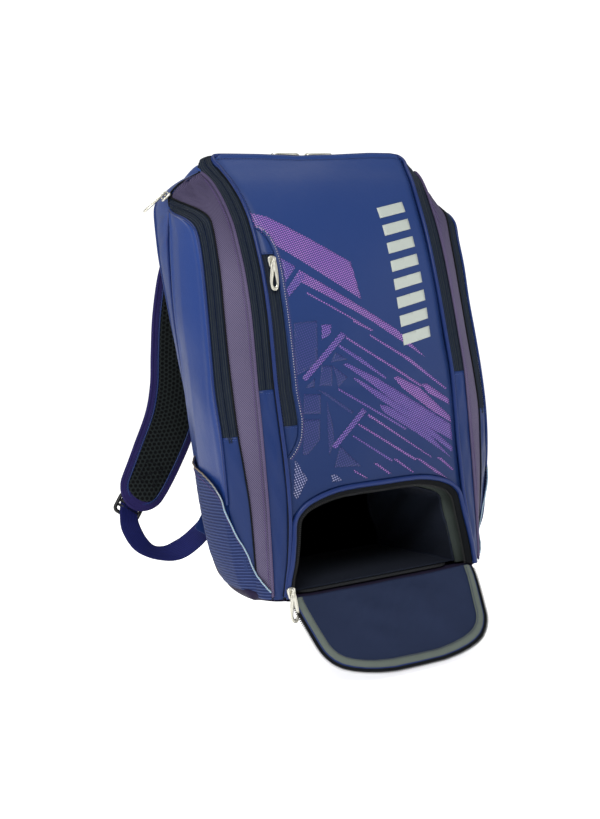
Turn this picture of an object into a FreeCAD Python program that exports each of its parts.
import FreeCAD, Part
import math
import os
import Sketcher
from FreeCAD import Vector as V, Placement, Rotation

# Racket backpack, assembled from separate sewn panels, tapes and fittings.
# Frame: origin at the middle of the base on the floor plane, +Z up,
# the front (shoe compartment and print) faces -Y, +X is the viewer's right.
# Lengths are millimetres.

doc = FreeCAD.newDocument("racket_backpack")
sheet = doc.addObject("Spreadsheet::Sheet", "Dimensions")

# ---- driving dimensions: alias, value, note ---------------------------------
DIMENSIONS = [
    ("panel_thick", 2.6, "padded front panel"),
    ("tape_thick", 1.6, "zip tape and coated trim"),
    ("shell_thick", 2.4, "side shell"),
    ("gusset_thick", 1.8, "twill gusset"),
    ("front_crown", 6.0, "how far the front panel bulges between its pipings"),
    ("piping_radius", 2.2, "piping cord and cover"),
    ("seam_gap", 0.5, "clearance between neighbouring panels"),
    ("lid_fold_z", 221.0, "height of the fold at the zip ends"),
    ("crest_z", 472.0, "top edge of the front panel"),
    ("back_plane_y", 68.0, "outer face of the back panel"),
    ("back_thick", 3.0, "back panel"),
    ("arch_top_z", 112.0, "top of the shoe opening"),
    ("arch_half", 104.0, "half width of the shoe opening"),
    ("arch_radius", 30.0, "corner radius of the shoe opening"),
    ("flap_length", 99.0, "shoe flap from hinge to tip"),
    ("flap_droop", 53.0, "degrees below level"),
    ("flap_thick", 3.0, "shoe flap"),
    ("flap_hinge_y", -126.0, "hinge line of the shoe flap"),
    ("flap_hinge_z", 1.8, "hinge line of the shoe flap"),
    ("base_thick", 3.0, "base cover"),
    ("base_board_len", 176.0, "base board"),
    ("base_board_wid", 196.0, "base board"),
    ("base_board_thick", 2.5, "base board"),
    ("back_board_wid", 216.0, "back board"),
    ("back_board_len", 380.0, "back board"),
    ("back_board_thick", 2.0, "back board"),
    ("board_radius", 18.0, "corners of the boards and the sleeve"),
    ("sleeve_wid", 214.0, "laptop sleeve"),
    ("sleeve_len", 262.0, "laptop sleeve"),
    ("sleeve_thick", 6.0, "laptop sleeve"),
    ("back_pad_wid", 78.0, "back pad"),
    ("back_pad_len", 250.0, "back pad"),
    ("back_pad_thick", 9.0, "back and lumbar pads"),
    ("lumbar_wid", 176.0, "lumbar pad"),
    ("lumbar_len", 62.0, "lumbar pad"),
    ("pad_radius", 16.0, "corners of the back and lumbar pads"),
    ("yoke_wid", 190.0, "strap yoke"),
    ("yoke_len", 34.0, "strap yoke"),
    ("yoke_thick", 3.0, "strap yoke"),
    ("tunnel_wid", 214.0, "shoe tunnel"),
    ("tunnel_depth", 172.0, "shoe tunnel"),
    ("tunnel_high", 112.0, "shoe tunnel"),
    ("tunnel_wall", 1.2, "shoe tunnel"),
    ("strap_thick", 9.0, "shoulder pad"),
    ("web_wid", 24.0, "strap webbing"),
    ("web_thick", 1.6, "strap webbing"),
    ("lock_wid", 34.0, "ladder lock"),
    ("lock_len", 26.0, "ladder lock"),
    ("lock_thick", 5.0, "ladder lock"),
    ("lock_slot_wid", 25.5, "ladder lock slot"),
    ("lock_slot_len", 5.4, "ladder lock slot"),
    ("lock_slot_offset", 5.6, "slot centre from the middle of the lock"),
    ("lock_radius", 3.0, "corners of the lock, yoke and anchor"),
    ("anchor_wid", 30.0, "strap anchor"),
    ("anchor_len", 34.0, "strap anchor"),
    ("anchor_thick", 3.0, "strap anchor"),
    ("slider_wid", 9.6, "zip slider"),
    ("slider_len", 12.0, "zip slider"),
    ("slider_thick", 3.6, "zip slider"),
    ("lug_wid", 1.3, "slider lug"),
    ("lug_len", 5.0, "slider lug"),
    ("lug_high", 3.4, "slider lug"),
    ("lug_space", 5.0, "clear space between lugs"),
    ("pin_radius", 0.90, "pull pin"),
    ("eye_radius", 0.97, "pull eye"),
    ("pull_wid", 10.0, "zip pull"),
    ("pull_len", 30.0, "zip pull"),
    ("pull_thick", 1.8, "zip pull"),
    ("pull_neck_wid", 4.4, "zip pull neck"),
    ("pull_neck_len", 6.0, "zip pull neck"),
    ("pull_slot_wid", 4.6, "zip pull slot"),
    ("pull_slot_len", 12.0, "zip pull slot"),
    ("haul_half", 38.0, "half spread of the haul loop"),
    ("haul_rise", 24.0, "rise of the haul loop"),
]

# Section heights, then the half width (x) and depth (y) of each seam line at
# those heights, from the front piping round the side to the rear edge.
LEVEL_Z = [4, 50, 100, 140, 180, 221, 260, 300, 340, 370, 400, 420, 440, 460, 472]
SEAMS = {
    "pipe_half": [110, 108, 107, 107, 108, 109, 107.5, 106, 105.5, 106, 107, 109, 113, 118,
                  120.5],
    "pipe_depth": [-129, -132, -132.5, -131, -129, -126.5, -122.5, -118, -111, -103.5, -93,
                   -83, -70, -52, -41],
    "zipone_half": [130, 130, 129.5, 129.5, 129.5, 129.5, 128, 126.5, 126, 126.5, 127.5,
                    129.5, 132.5, 136, 138],
    "zipone_depth": [-120, -123, -124.5, -124.5, -124, -122.5, -119, -114.5, -107.5, -99.5,
                     -89, -79, -66, -48, -37],
    "gusset_half": [138, 142, 145, 148, 151, 151, 150, 148.5, 147, 146.5, 147.2, 152, 156,
                    154, 152],
    "gusset_depth": [-96, -110, -116, -116, -114, -109, -103.5, -99, -95, -90, -83, -47, 4,
                     12, 16],
    "ziptwo_half": [150, 158, 163, 165, 166, 167, 165.5, 163.5, 162.5, 161.5, 163.5, 168,
                    166, 165, 165],
    "ziptwo_depth": [-78, -94, -101, -105, -105, -100, -96, -91.5, -88, -83, -69, -22, 12,
                     20, 24],
    "bulge_half": [142, 156, 165, 169, 171, 172, 172, 171, 169, 168, 167, 166, 164, 160, 156],
    "bulge_depth": [-15, -20, -22, -24, -25, -25, -25, -24, -22, -20, -12, 6, 26, 30, 34],
    "rear_half": [110, 116, 121, 125, 129, 134, 138, 142, 145, 147, 149, 150, 150, 148, 146],
}

cells = list(DIMENSIONS)
for i, level in enumerate(LEVEL_Z):
    cells.append(("level_%02d_z" % i, level, ""))
    cells += [("%s_%02d" % (name, i), column[i], "") for name, column in SEAMS.items()]
for row, (alias, value, note) in enumerate(cells, 1):
    sheet.set("A%d" % row, alias)
    sheet.set("B%d" % row, "%.4f" % value)
    sheet.setAlias("B%d" % row, alias)
    if note:
        sheet.set("C%d" % row, note)
doc.recompute()


def dim(alias):
    return float(sheet.get(alias))


level_z = [dim("level_%02d_z" % i) for i in range(len(LEVEL_Z))]
seams = {name: [dim("%s_%02d" % (name, i)) for i in range(len(LEVEL_Z))] for name in SEAMS}

gap = dim("seam_gap")
piping_radius = dim("piping_radius")
crown = dim("front_crown")
fold = dim("lid_fold_z")
crest = dim("crest_z")
back_y = dim("back_plane_y")
tape = dim("tape_thick")
shell_rear_y = back_y - dim("back_thick") - 2.2  # rear edge of the side shell


# ---- points on the seam lines -------------------------------------------------
def at(name, z):
    # Seam column interpolated at height z, held constant beyond its ends.
    column = seams[name]
    if z <= level_z[0]:
        return column[0]
    for i in range(len(level_z) - 1):
        if z <= level_z[i + 1]:
            f = (z - level_z[i]) / (level_z[i + 1] - level_z[i])
            return column[i] * (1 - f) + column[i + 1] * f
    return column[-1]


def seam_point(seam, z):
    depth = shell_rear_y if seam == "rear" else at(seam + "_depth", z)
    return V(at(seam + "_half", z), depth, z)


def levels(z0, z1):
    return [z0] + [z for z in level_z if z0 + 6 < z < z1 - 6] + [z1]


def crown_y(fraction, z):
    # Depth of the crowned front at a fraction (-1 to 1) of its half width.
    return at("pipe_depth", z) - crown * (1 - fraction * fraction)


def on_front(x, z, lift, edge_gap):
    # Point on the crowned front, moved by lift along y.
    fraction = min(1.0, abs(x) / (at("pipe_half", z) - piping_radius - edge_gap))
    return V(x, crown_y(fraction, z) + lift, z)


# ---- shape helpers --------------------------------------------------------------
parts = {}


def register(label, obj, place):
    obj.Label = label
    obj.Placement = place
    parts[label] = obj


def feature(label, shape, place=None):
    obj = doc.addObject("Part::Feature", label)
    obj.Shape = shape
    register(label, obj, place or Placement(V(0, 0, 0), Rotation()))


def mirrored(shape):
    return shape.mirror(V(0, 0, 0), V(1, 0, 0))


def mirror_point(p):
    return V(-p.x, p.y, p.z)


def pair(label, shape, side="right", other="left"):
    feature("%s_%s" % (label, side), shape)
    feature("%s_%s" % (label, other), mirrored(shape))


def poly(points):
    return Part.makePolygon(points + [points[0]])


def loft(stations):
    # Ruled solid through closed outlines.
    solid = Part.makeLoft([poly(station) for station in stations], True, True)
    if solid.Volume < 0:
        solid.reverse()
    return solid


def tangent(points, i):
    return (points[min(i + 1, len(points) - 1)] - points[max(i - 1, 0)]).normalize()


def square_to(direction, axis):
    # Unit direction with its part along the unit axis removed.
    return (direction - axis * direction.dot(axis)).normalize()


def rectangle(centre, a, b):
    return [centre - a - b, centre + a - b, centre + a + b, centre - a + b]


def tube(points, radius, sides=8):
    # Cord along a path: regular outlines square to the path, without twist.
    first = tangent(points, 0)
    ref = V(0, -1, 0) if abs(first.y) < 0.8 else V(1, 0, 0)
    stations = []
    for i, p in enumerate(points):
        along = tangent(points, i)
        ref = square_to(ref, along)
        across = along.cross(ref)
        angles = [2 * math.pi * k / sides for k in range(sides)]
        stations.append([p + ref * (radius * math.cos(a)) + across * (radius * math.sin(a))
                         for a in angles])
    return loft(stations)


def ribbon(stations, thick):
    # Flat band; each station is its centre, width and width direction.
    path = [centre for centre, width, direction in stations]
    outlines = []
    for i, (centre, width, direction) in enumerate(stations):
        along = tangent(path, i)
        across = square_to(direction, along)
        normal = along.cross(across).normalize()
        outlines.append(rectangle(centre, across * (width / 2.0), normal * (thick / 2.0)))
    return loft(outlines)


def strip_outline(z, line, inset_start, inset_end, thick):
    # Right-hand section of a sewn strip: outer face, then the inner face back.
    outer = [seam_point(seam, z) for seam in line]
    inward = []
    for i in range(len(outer)):
        along = tangent(outer, i)
        inward.append(V(-along.y, along.x, 0))
    from_start = (outer[1] - outer[0]).normalize()
    from_end = (outer[-2] - outer[-1]).normalize()
    outer[0] = outer[0] + from_start * inset_start
    outer[-1] = outer[-1] + from_end * inset_end
    inner = [p + q * thick for p, q in zip(outer, inward)]
    return outer + inner[::-1]


def strip(label, line, z0, z1, thick, inset_start, inset_end):
    pair(label, loft([strip_outline(z, line, inset_start, inset_end, thick)
                      for z in levels(z0, z1)]))


# ---- front panel: crowned sheet between the two pipings ---------------------
FRONT_STEPS = 6
FOLD_CLEAR = 0.4  # each panel stops this far from the fold


def front_outline(z):
    half = at("pipe_half", z) - piping_radius - gap
    fractions = [-1 + 2.0 * k / FRONT_STEPS for k in range(FRONT_STEPS + 1)]
    outer = [V(f * half, crown_y(f, z), z) for f in fractions]
    return outer + [p + V(0, dim("panel_thick"), 0) for p in outer[::-1]]


feature("front_panel_upper",
        loft([front_outline(z) for z in levels(fold + FOLD_CLEAR, crest - 4)]))

# The lower panel has the arch of the shoe opening cut from it.
arch_half = dim("arch_half")
arch_top = dim("arch_top_z")
arch_radius = dim("arch_radius")
ARCH_SIDE_CLEAR = 7
ARCH_TOP_CLEAR = 4

lower = loft([front_outline(z) for z in levels(60.0, fold - FOLD_CLEAR)])
cut_half = arch_half + ARCH_SIDE_CLEAR
cut_top = arch_top + ARCH_TOP_CLEAR
cutter = Part.makeBox(2 * cut_half, 60, 2 * cut_top, V(-cut_half, -160, -cut_top))
# Round the two upper edges that run along y.
upper_edges = [e for e in cutter.Edges
               if abs(e.Vertexes[0].Z - e.Vertexes[-1].Z) < 0.01
               and abs(e.Vertexes[0].X - e.Vertexes[-1].X) < 0.01
               and e.Vertexes[0].Z > 0]
cutter = cutter.makeFillet(arch_radius, upper_edges)
lower = lower.cut(cutter)
feature("front_panel_lower", max(lower.Solids, key=lambda solid: solid.Volume))

# ---- front piping: up one side, across the crest and down the other ---------
PIPING_CREST = [V(119.8, -44.6, 468.5), V(116, -41.5, 473.4), V(110, -42.5, 474.4),
                V(60, -46.0, 475.2), V(0, -47.5, 475.6)]
path = [seam_point("pipe", z) for z in (fold + 1.0, 260, 300, 340, 370, 400, 420, 440, 460)]
path += PIPING_CREST
path += [mirror_point(p) for p in path[:-1]][::-1]
feature("front_piping_upper", tube(path, piping_radius))

lower_cord = tube([seam_point("pipe", z) for z in (6, 50, 100, 140, 180, fold - 2.0)],
                  piping_radius)
feature("front_piping_lower", Part.makeCompound([lower_cord, mirrored(lower_cord)]))

# ---- main zip band, its end tabs and the coated corner strips ---------------
TAB_EXTRA = 0.8  # zip tabs are this much thicker than the tape
tab_bottom = fold - 36
main_line = ["pipe", "zipone"]
beside_piping = piping_radius + gap
strip("main_zip_tape", main_line, fold, crest - 1, tape, beside_piping, 2 * gap)
strip("main_zip_tab", main_line, tab_bottom, fold - gap, tape + TAB_EXTRA,
      beside_piping, 2 * gap)
strip("corner_strip", main_line, 5, tab_bottom - gap, tape, beside_piping, 2 * gap)

# The band also runs across the top behind the front panel's edge.
TOP_TAPE_HALF = 115.0
TOP_TAPE_FRONT_Y = -40.0
TOP_TAPE_REAR_Y = -24.5
stations = []
for k in range(-3, 4):
    x = k * TOP_TAPE_HALF / 3
    z = 473.4 - 2.0 * (x / TOP_TAPE_HALF) ** 2
    stations.append([V(x, TOP_TAPE_FRONT_Y, z - 1.0), V(x, TOP_TAPE_REAR_Y, z + 0.6),
                     V(x, TOP_TAPE_REAR_Y, z + 0.6 - tape),
                     V(x, TOP_TAPE_FRONT_Y, z - 1.0 - tape)])
feature("main_zip_tape_top", loft(stations))

# ---- gusset, side zips and side shells --------------------------------------
SIDE_ZIP_BOTTOM = 176.0
side_line = ["gusset", "ziptwo"]
strip("gusset", ["zipone", "gusset"], 5, 452, dim("gusset_thick"), 2.4 * gap, 2 * gap)
strip("side_zip_tape", side_line, SIDE_ZIP_BOTTOM, 412, tape, 2 * gap, 3.2 * gap)
strip("side_zip_tab", side_line, 140, SIDE_ZIP_BOTTOM - gap, tape + TAB_EXTRA,
      2 * gap, 4 * gap)
strip("side_shell", ["ziptwo", "bulge", "rear"], 5, 426, dim("shell_thick"), 4.4 * gap, 0.0)

# ---- side pockets -----------------------------------------------------------
# The stretch pocket lies over the lower rear of the side shell; its mouth
# rises from the front bottom corner to the rear.
POCKET_OFFSET = 2.2
POCKET_THICK = 1.4
POCKET_STEPS = 4


def pocket_outline(z):
    front, middle, rear = [seam_point(seam, z) for seam in ("ziptwo", "bulge", "rear")]
    mouth = 0.10 + 0.80 * (z - 5.0) / 148.0
    outer, inner = [], []
    for k in range(POCKET_STEPS + 1):
        t = mouth + (1 - mouth) * k / POCKET_STEPS
        if t < 0.5:
            start, end, f = front, middle, t / 0.5
        else:
            start, end, f = middle, rear, (t - 0.5) / 0.5
        run = end - start
        p = start + run * f
        outward = V(run.y, -run.x, 0).normalize()
        offset = POCKET_OFFSET + 1.5 + 3.0 * math.sin(math.pi * k / POCKET_STEPS)
        outer.append(p + outward * (offset + POCKET_THICK))
        inner.append(p + outward * offset)
    return outer + inner[::-1]


stations = [pocket_outline(z) for z in (6, 30, 60, 90, 120, 146)]
pair("side_pocket", loft(stations))
# The trim cord runs just ahead of the pocket's mouth.
trim_path = [s[0] + (s[0] - s[1]).normalize() * 3.2 for s in stations]
pair("side_trim", tube(trim_path, 1.3, 6))

# ---- roof -------------------------------------------------------------------
# Depth y, height at the middle, height at the sides, half width.
ROOF = [
    (-23.5, 474.0, 458.0, 136.0),
    (0, 474.0, 453.0, 143.0),
    (30, 468.0, 445.0, 144.0),
    (50, 458.0, 432.0, 142.0),
    (62, 446.0, 420.0, 139.0),
]
ROOF_THICK = 2.2
stations = []
for y, middle_z, side_z, half in ROOF:
    upper = []
    for k in range(-5, 6):
        f = k / 5.0
        upper.append(V(f * half, y, side_z + (middle_z - side_z) * (1 - abs(f) ** 2.4)))
    stations.append(upper + [p - V(0, 0, ROOF_THICK) for p in upper[::-1]])
feature("roof_panel", loft(stations))


# ---- flat pieces: sketched outlines, padded ---------------------------------
def add_sketch(body, name):
    # Sketch on the body's XY plane.
    plane = [f for f in body.Origin.OriginFeatures if f.Role == "XY_Plane"][0]
    sketch = body.newObject("Sketcher::SketchObject", name)
    sketch.AttachmentSupport = [(plane, "")]
    sketch.MapMode = "FlatFace"
    return sketch


def add_ring(sketch, points):
    # Closed chain of lines through (x, y) points.
    count = len(points)
    corners = [V(x, y, 0) for x, y in points]
    for i in range(count):
        sketch.addGeometry(Part.LineSegment(corners[i], corners[(i + 1) % count]), False)
    for i in range(count):
        sketch.addConstraint(Sketcher.Constraint("Coincident", i, 2, (i + 1) % count, 1))


def add_rect(sketch, width_alias, length_alias, centre_y=0.0):
    half_w, half_l = dim(width_alias) / 2, dim(length_alias) / 2
    low, high = centre_y - half_l, centre_y + half_l
    add_ring(sketch, [(-half_w, low), (half_w, low), (half_w, high), (-half_w, high)])
    for kind, line in (("Horizontal", 0), ("Horizontal", 2), ("Vertical", 1), ("Vertical", 3)):
        sketch.addConstraint(Sketcher.Constraint(kind, line))
    for kind, line, size, alias in (("DistanceX", 0, 2 * half_w, width_alias),
                                    ("DistanceY", 1, 2 * half_l, length_alias)):
        index = sketch.addConstraint(Sketcher.Constraint(kind, line, 1, line, 2, size))
        sketch.setExpression("Constraints[%d]" % index, "Dimensions." + alias)
    if centre_y == 0:
        sketch.addConstraint(Sketcher.Constraint("Symmetric", 0, 1, 2, 1, -1, 1))
    else:
        sketch.addConstraint(Sketcher.Constraint("DistanceX", -1, 1, 0, 1, -half_w))
        sketch.addConstraint(Sketcher.Constraint("DistanceY", -1, 1, 0, 1, low))


def padded_body(label, draw, thick_alias):
    # Body whose outline is drawn by draw(sketch) and padded along +Z.
    body = doc.addObject("PartDesign::Body", label)
    sketch = add_sketch(body, label + "_outline")
    draw(sketch)
    pad = body.newObject("PartDesign::Pad", label + "_pad")
    pad.Profile = sketch
    pad.setExpression("Length", "Dimensions." + thick_alias)
    doc.recompute()
    body.Tip = pad
    return body, pad


def cut_slot(body, label, index, size, centre_y):
    sketch = add_sketch(body, "%s_slot%d" % (label, index))
    add_rect(sketch, size + "_wid", size + "_len", centre_y)
    volume_before = body.Shape.Volume
    pocket = body.newObject("PartDesign::Pocket", "%s_cut%d" % (label, index))
    pocket.Profile = sketch
    pocket.Type = 1  # through all
    pocket.Midplane = True
    doc.recompute()
    # Where the symmetric cut removes nothing, cut towards the pad instead.
    if abs(body.Shape.Volume - volume_before) < 1e-6:
        pocket.Midplane = False
        pocket.Reversed = True
        doc.recompute()
    body.Tip = pocket


def plate(label, size, thick_alias, radius_alias, place, slot_offsets=()):
    # Rounded plate: size_wid along the sketch's x, size_len along its y.
    body, pad = padded_body(label, lambda sk: add_rect(sk, size + "_wid", size + "_len"),
                            thick_alias)
    corner_edges = []
    for i, e in enumerate(pad.Shape.Edges, 1):
        run = e.Vertexes[-1].Point - e.Vertexes[0].Point
        if abs(run.z) > 0.5 and abs(run.x) + abs(run.y) < 1e-6:
            corner_edges.append("Edge%d" % i)
    fillet = body.newObject("PartDesign::Fillet", label + "_corners")
    fillet.Base = (pad, corner_edges)
    fillet.setExpression("Radius", "Dimensions." + radius_alias)
    doc.recompute()
    body.Tip = fillet
    for index, centre_y in enumerate(slot_offsets):
        cut_slot(body, label, index, "lock_slot", centre_y)
    doc.recompute()
    register(label, body, place)


def upright(x, y, z):
    # A plate drawn in XY stands up: its thickness runs to -Y, sketch y becomes Z.
    return Placement(V(x, y, z), Rotation(V(1, 0, 0), 90))


def behind_back(x, z, thick_alias):
    # Upright, just outside the back panel.
    return upright(x, back_y + dim(thick_alias) + gap, z)


back_inner_y = back_y - dim("back_thick")
SLEEVE_INSET = 4.0  # from the back panel's inner face
PAD_X = 56
PAD_Z = 262
plate("back_board", "back_board", "back_board_thick", "board_radius",
      upright(0, back_inner_y - gap, 214))
plate("laptop_sleeve", "sleeve", "sleeve_thick", "board_radius",
      upright(0, back_inner_y - SLEEVE_INSET, 262))
plate("base_board", "base_board", "base_board_thick", "board_radius",
      Placement(V(0, -26, 4.2), Rotation()))
for side, x in (("left", -PAD_X), ("right", PAD_X)):
    plate("back_pad_" + side, "back_pad", "back_pad_thick", "pad_radius",
          behind_back(x, PAD_Z, "back_pad_thick"))
plate("lumbar_pad", "lumbar", "back_pad_thick", "pad_radius",
      behind_back(0, 92, "back_pad_thick"))
plate("strap_yoke", "yoke", "yoke_thick", "lock_radius", behind_back(0, 424, "yoke_thick"))

# Back panel: tapered plate with a rounded top; right-hand (x, z) from the bottom up.
rear_half = SEAMS["rear_half"]
half = [(rear_half[0], 5)] + [(rear_half[i], LEVEL_Z[i]) for i in (2, 4, 6, 8)]
half += [(149, 400), (147, 420), (136, 438), (110, 447), (60, 450)]
ring = half + [(-x, z) for x, z in half[::-1]]
body, pad = padded_body("back_panel", lambda sk: add_ring(sk, ring), "back_thick")
register("back_panel", body, upright(0, back_y, 0))

# Base cover under everything; right-hand (x, y) from front to rear.
half = [(116, -116), (130, -112), (141, -92), (148, -74), (141, -15), (118, 58),
        (104, 66), (40, 67.5)]
ring = [(-x, y) for x, y in half] + half[::-1]
body, pad = padded_body("base_cover", lambda sk: add_ring(sk, ring), "base_thick")
register("base_cover", body, Placement(V(0, 0, 0), Rotation()))


# ---- primitives: sizes are numbers or expressions ---------------------------
def set_size(obj, prop, value):
    if isinstance(value, str):
        obj.setExpression(prop, value)
    else:
        setattr(obj, prop, value)


def box(name, sizes, corner=(0, 0, 0), **bound):
    # bound gives expressions for the corner's x, y or z.
    obj = doc.addObject("Part::Box", name)
    for prop, value in zip(("Length", "Width", "Height"), sizes):
        set_size(obj, prop, value)
    obj.Placement = Placement(V(*corner), Rotation())
    for axis, expression in bound.items():
        obj.setExpression("Placement.Base." + axis, expression)
    return obj


def cylinder_x(name, radius, height, start_x):
    # Cylinder along +X from start_x.
    obj = doc.addObject("Part::Cylinder", name)
    set_size(obj, "Radius", radius)
    set_size(obj, "Height", height)
    obj.Placement = Placement(V(start_x, 0, 0), Rotation(V(0, 1, 0), 90))
    return obj


def fuse(name, objs):
    obj = doc.addObject("Part::MultiFuse", name)
    obj.Shapes = objs
    return obj


def cut(label, base, tool, place):
    obj = doc.addObject("Part::Cut", label)
    obj.Base, obj.Tool = base, tool
    register(label, obj, place)


# ---- shoe tunnel: thin box liner, open to the front -------------------------
TUNNEL_FRONT_Y = -116
TUNNEL_Z = 7.4
wall = dim("tunnel_wall")
tunnel_x = -dim("tunnel_wid") / 2
outer = box("shoe_tunnel_outer",
            ("Dimensions.tunnel_wid", "Dimensions.tunnel_depth", "Dimensions.tunnel_high"),
            (tunnel_x, TUNNEL_FRONT_Y, TUNNEL_Z))
inner = box("shoe_tunnel_inner",
            ("Dimensions.tunnel_wid - 2 * Dimensions.tunnel_wall", "Dimensions.tunnel_depth",
             "Dimensions.tunnel_high - 2 * Dimensions.tunnel_wall"),
            (tunnel_x + wall, TUNNEL_FRONT_Y - wall, TUNNEL_Z + wall))
cut("shoe_tunnel", outer, inner, Placement(V(0, 0, 0), Rotation()))

# ---- piping around the shoe opening -----------------------------------------
# Inner points of a quarter corner, as (inset, rise) for a unit radius.
QUARTER = [(1 - math.cos(math.radians(90.0 * k / 8)), math.sin(math.radians(90.0 * k / 8)))
           for k in range(1, 8)]
cord_half = arch_half - 1.2
cord_top = arch_top + 0.8
spring_z = cord_top - arch_radius
side = [(-cord_half - 1, 7.0), (-cord_half - 0.7, 35), (-cord_half, spring_z - 4)]
side += [(-cord_half + arch_radius * inset, spring_z + arch_radius * rise)
         for inset, rise in QUARTER]
arch = side + [(x, cord_top) for x in (-50, -25, 0, 25, 50)]
arch += [(-x, z) for x, z in side[::-1]]
feature("shoe_arch_piping", tube([on_front(x, z, 1.3, 0) for x, z in arch], 1.8))


# ---- shoe flap (drawn level, then turned down about its hinge line) ---------
def flap_plate(half, length, radius, start_y, bottom_z, thick):
    # Plate from start_y towards -Y, with both far corners rounded.
    pts = [V(-half, start_y, bottom_z), V(-half, -length + radius, bottom_z)]
    pts += [V(-half + radius * inset, -length + radius - radius * rise, bottom_z)
            for inset, rise in QUARTER]
    pts.append(V(-half + radius, -length, bottom_z))
    pts += [mirror_point(p) for p in pts[::-1]]
    return Part.Face(poly(pts)).extrude(V(0, 0, thick))


flap_length = dim("flap_length")
flap_thick = dim("flap_thick")
flap_half = arch_half - 7.5
FLAP_RADIUS = 30.0
FLAP_START_Y = -2.4
flap = flap_plate(flap_half, flap_length - 4, FLAP_RADIUS - 2, FLAP_START_Y,
                  -flap_thick / 2, flap_thick)
rim = flap_plate(flap_half + 3.2, flap_length, FLAP_RADIUS, FLAP_START_Y, -1.0, 2.0)
rim = rim.cut(flap_plate(flap_half + 0.3, flap_length - 3.7, FLAP_RADIUS - 1.8,
                         6.0, -4.0, 8.0))
flap_place = Placement(V(0, dim("flap_hinge_y"), dim("flap_hinge_z")),
                       Rotation(V(1, 0, 0), dim("flap_droop")))
feature("shoe_flap", flap, flap_place)
feature("shoe_flap_zip_tape", rim, flap_place)

# ---- front pocket zip on the lid --------------------------------------------
POCKET_ZIP_X = -96.5
POCKET_ZIP_HALF = 4.5
stations = []
for z in (228, 260, 300, 340, 362):
    left = on_front(POCKET_ZIP_X - POCKET_ZIP_HALF, z, -1.3, gap)
    right = on_front(POCKET_ZIP_X + POCKET_ZIP_HALF, z, -1.3, gap)
    forward = V(0, -1.2, 0)
    stations.append([left + forward, right + forward, right, left])
feature("pocket_zip_tape", loft(stations))


# ---- zip sliders and pulls --------------------------------------------------
# Local frame: the zip runs along z, the outward side is -y, the pull's pin
# lies along x at the origin.
def slider(label, place):
    block = box(label + "_block",
                ("Dimensions.slider_wid", "Dimensions.slider_thick", "Dimensions.slider_len"),
                x="-Dimensions.slider_wid / 2", y="Dimensions.lug_high - 1.0",
                z="-Dimensions.slider_len / 2")
    objs = [block]
    for name, lug_x in (("a", "-Dimensions.lug_space / 2 - Dimensions.lug_wid"),
                        ("b", "Dimensions.lug_space / 2")):
        lug = box(label + "_lug_" + name,
                  ("Dimensions.lug_wid", "Dimensions.lug_high + 0.8", "Dimensions.lug_len"),
                  x=lug_x, z="-Dimensions.lug_len / 2")
        lug.Placement.Base.y = -1.4
        objs.append(lug)
    # The pin runs 0.5 into each lug.
    objs.append(cylinder_x(label + "_pin", "Dimensions.pin_radius",
                           "Dimensions.lug_space + 1.0", -dim("lug_space") / 2 - 0.5))
    register(label, fuse(label, objs), place)


def pull(label, place):
    # Extends from the pin towards local -z.
    neck_x = -dim("pull_neck_wid") / 2
    neck = box(label + "_neck",
               ("Dimensions.pull_neck_wid", "Dimensions.pull_thick",
                "Dimensions.pull_neck_len + 1.0"),
               x="-Dimensions.pull_neck_wid / 2", y="-Dimensions.pull_thick / 2",
               z="-Dimensions.pull_neck_len - 1.0")
    boss = cylinder_x(label + "_boss", 1.9, "Dimensions.pull_neck_wid", neck_x)
    blade = box(label + "_plate",
                ("Dimensions.pull_wid", "Dimensions.pull_thick",
                 "Dimensions.pull_len - Dimensions.pull_neck_len"),
                x="-Dimensions.pull_wid / 2", y="-Dimensions.pull_thick / 2",
                z="-Dimensions.pull_len")
    solid = fuse(label + "_plate_neck", [neck, boss, blade])
    eye = cylinder_x(label + "_eye", "Dimensions.eye_radius",
                     "Dimensions.pull_neck_wid + 4", neck_x - 2)
    slot = box(label + "_slot", ("Dimensions.pull_slot_wid", 6.0, "Dimensions.pull_slot_len"),
               x="-Dimensions.pull_slot_wid / 2", z="-Dimensions.pull_len + 3.5")
    slot.Placement.Base.y = -3
    cut(label, solid, fuse(label + "_cuts", [eye, slot]), place)


def frame(x_dir, y_dir, z_dir):
    # Placement whose local axes lie along the given unit directions.
    return Placement(FreeCAD.Matrix(x_dir.x, y_dir.x, z_dir.x, 0,
                                    x_dir.y, y_dir.y, z_dir.y, 0,
                                    x_dir.z, y_dir.z, z_dir.z, 0,
                                    0, 0, 0, 1))


def facing(out, down):
    # Rotation that takes local -y to out and local -z towards down.
    y_dir = V(*out).normalize() * -1
    z_dir = square_to(V(*down), y_dir) * -1
    return frame(y_dir.cross(z_dir), y_dir, z_dir).Rotation


pin_lift = dim("lug_high") - 1.0 + dim("slider_thick")  # pin to the slider's underside
top_zip_z = 474.8 + pin_lift
# Name, pin position, outward direction, direction in which the pull lies.
ZIPS = [
    ("pocket", on_front(POCKET_ZIP_X, 352.0, -4.0 - pin_lift, gap),
     (0, -1, 0.18), (-0.05, 0, -1)),
    ("main_left", V(-15, -32.3, top_zip_z), (0, 0, 1), (-1, 0, 0)),
    ("main_right", V(1, -32.3, top_zip_z), (0, 0, 1), (1, 0, 0)),
    ("side_left", V(-165.5, -4, 439.8), (-0.55, 0, 0.85), (-0.75, 0.1, -0.6)),
    ("side_right", V(165.5, -4, 439.8), (0.55, 0, 0.85), (0.75, 0.1, -0.6)),
    ("shoe", V(-116.0, -134.6 - pin_lift + 1.2, 11.5), (0, -1, 0), (0, 0, -1)),
]
for name, pin, out, down in ZIPS:
    place = Placement(pin, facing(out, down))
    slider(name + "_slider", place)
    pull(name + "_pull", place)

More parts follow.
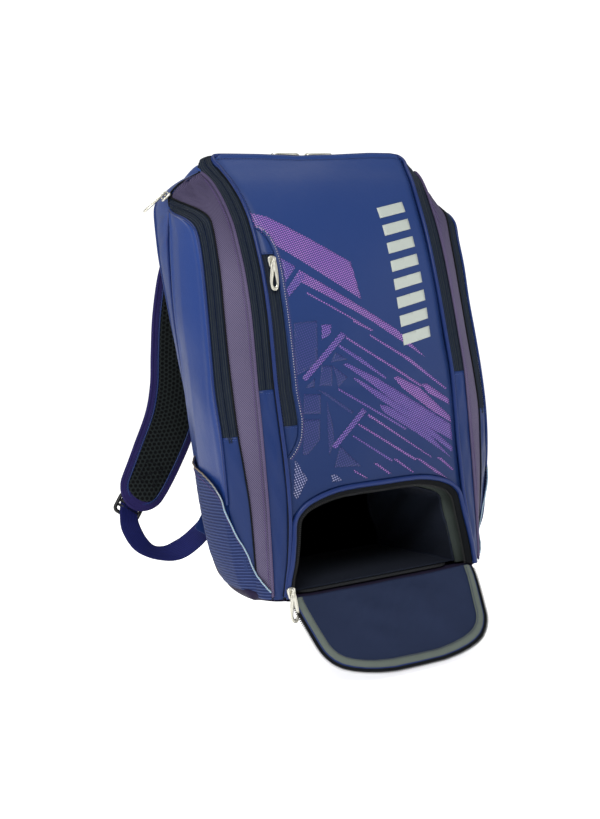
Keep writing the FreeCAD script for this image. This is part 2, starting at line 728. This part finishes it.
# ---- shoulder straps --------------------------------------------------------
# Left pad from the yoke down: centre (x, y, z), width.
STRAP = [
    ((-66, 87, 426), 58), ((-84, 97, 400), 62), ((-101, 114, 368), 66),
    ((-110, 132, 317), 66), ((-113, 147, 268), 66), ((-117, 151, 226), 66),
    ((-128, 150, 186), 66), ((-150, 145, 146), 62), ((-170, 140, 114), 52),
    ((-186, 137, 92), 34),
]
strap = [(V(*centre), width, V(1, 0, 0)) for centre, width in STRAP]
pair("strap_pad", ribbon(strap, dim("strap_thick")), "left", "right")

# Ladder lock at the strap's lower end, slots across the webbing.
strap_end = strap[-1][0]
lock_along = (strap_end - strap[-2][0]).normalize()
lock_across = square_to(V(1, 0, 0), lock_along)
lock_centre = strap_end + lock_along * (dim("lock_len") / 2 + 1.0)


def ladder_lock(label, centre, across, along):
    y_dir = along * -1
    z_dir = across.cross(y_dir).normalize()
    place = frame(across, y_dir, z_dir)
    place.Base = centre - z_dir * (dim("lock_thick") / 2)
    offset = dim("lock_slot_offset")
    plate(label, "lock", "lock_thick", "lock_radius", place, (offset, -offset))


ladder_lock("ladder_lock_left", lock_centre, lock_across, lock_along)
ladder_lock("ladder_lock_right", mirror_point(lock_centre), mirror_point(lock_across) * -1,
            mirror_point(lock_along))

# Left webbing from the lock down, round and up to the anchor tab on the back:
# centre (x, y, z), width direction.
WEBBING = [
    ((-203, 128, 47), (0.9, 0.2, 0.45)), ((-189, 121, 30), (0.62, 0.25, 0.75)),
    ((-168, 112, 22), (0.2, 0.25, 0.95)), ((-147, 101, 26), (-0.2, 0.2, 0.95)),
    ((-132, 90, 38), (-0.5, 0.1, 0.85)), ((-121, 80.5, 54), (-0.65, 0.0, 0.75)),
]
web_width = dim("web_wid")
webbing = [(lock_centre + lock_along * (dim("lock_len") / 2 + 9.0), web_width, lock_across)]
webbing += [(V(*centre), web_width, V(*across)) for centre, across in WEBBING]
pair("strap_webbing", ribbon(webbing, dim("web_thick")), "left", "right")

ANCHOR_X = 114
ANCHOR_Z = 66
ANCHOR_TILT = 35  # degrees
for side, sign in (("left", -1), ("right", 1)):
    tilt = Rotation(V(0, 1, 0), -sign * ANCHOR_TILT)
    place = behind_back(sign * ANCHOR_X, ANCHOR_Z, "anchor_thick")
    place.Rotation = tilt.multiply(Rotation(V(1, 0, 0), 90))
    plate("strap_anchor_" + side, "anchor", "anchor_thick", "lock_radius", place)

# ---- haul loop --------------------------------------------------------------
HAUL_Y = 74
HAUL_FOOT_Z = 449
HAUL_HALF_WIDTH = 5.5
HAUL_HALF_THICK = 1.6
stations = []
for k in range(13):
    a = math.pi * k / 12
    centre = V(-dim("haul_half") * math.cos(a), HAUL_Y,
               HAUL_FOOT_Z + dim("haul_rise") * math.sin(a) ** 0.8)
    outward = V(-math.cos(a), 0, math.sin(a))
    stations.append(rectangle(centre, V(0, HAUL_HALF_WIDTH, 0), outward * HAUL_HALF_THICK))
feature("haul_loop", loft(stations))

doc.recompute()

# ---- check and export -------------------------------------------------------
bad = []
for obj in doc.Objects:
    if "Invalid" in obj.State or "Error" in obj.State:
        bad.append("%s state %s" % (obj.Label, obj.State))
for label, obj in parts.items():
    shape = obj.Shape
    if shape.isNull() or not shape.isValid() or shape.Volume <= 0:
        bad.append("%s is null, invalid or without volume" % label)
if bad:
    raise RuntimeError("; ".join(bad))
os.makedirs("parts", exist_ok=True)
for label, obj in parts.items():
    obj.Shape.exportStep("parts/%s.step" % label)
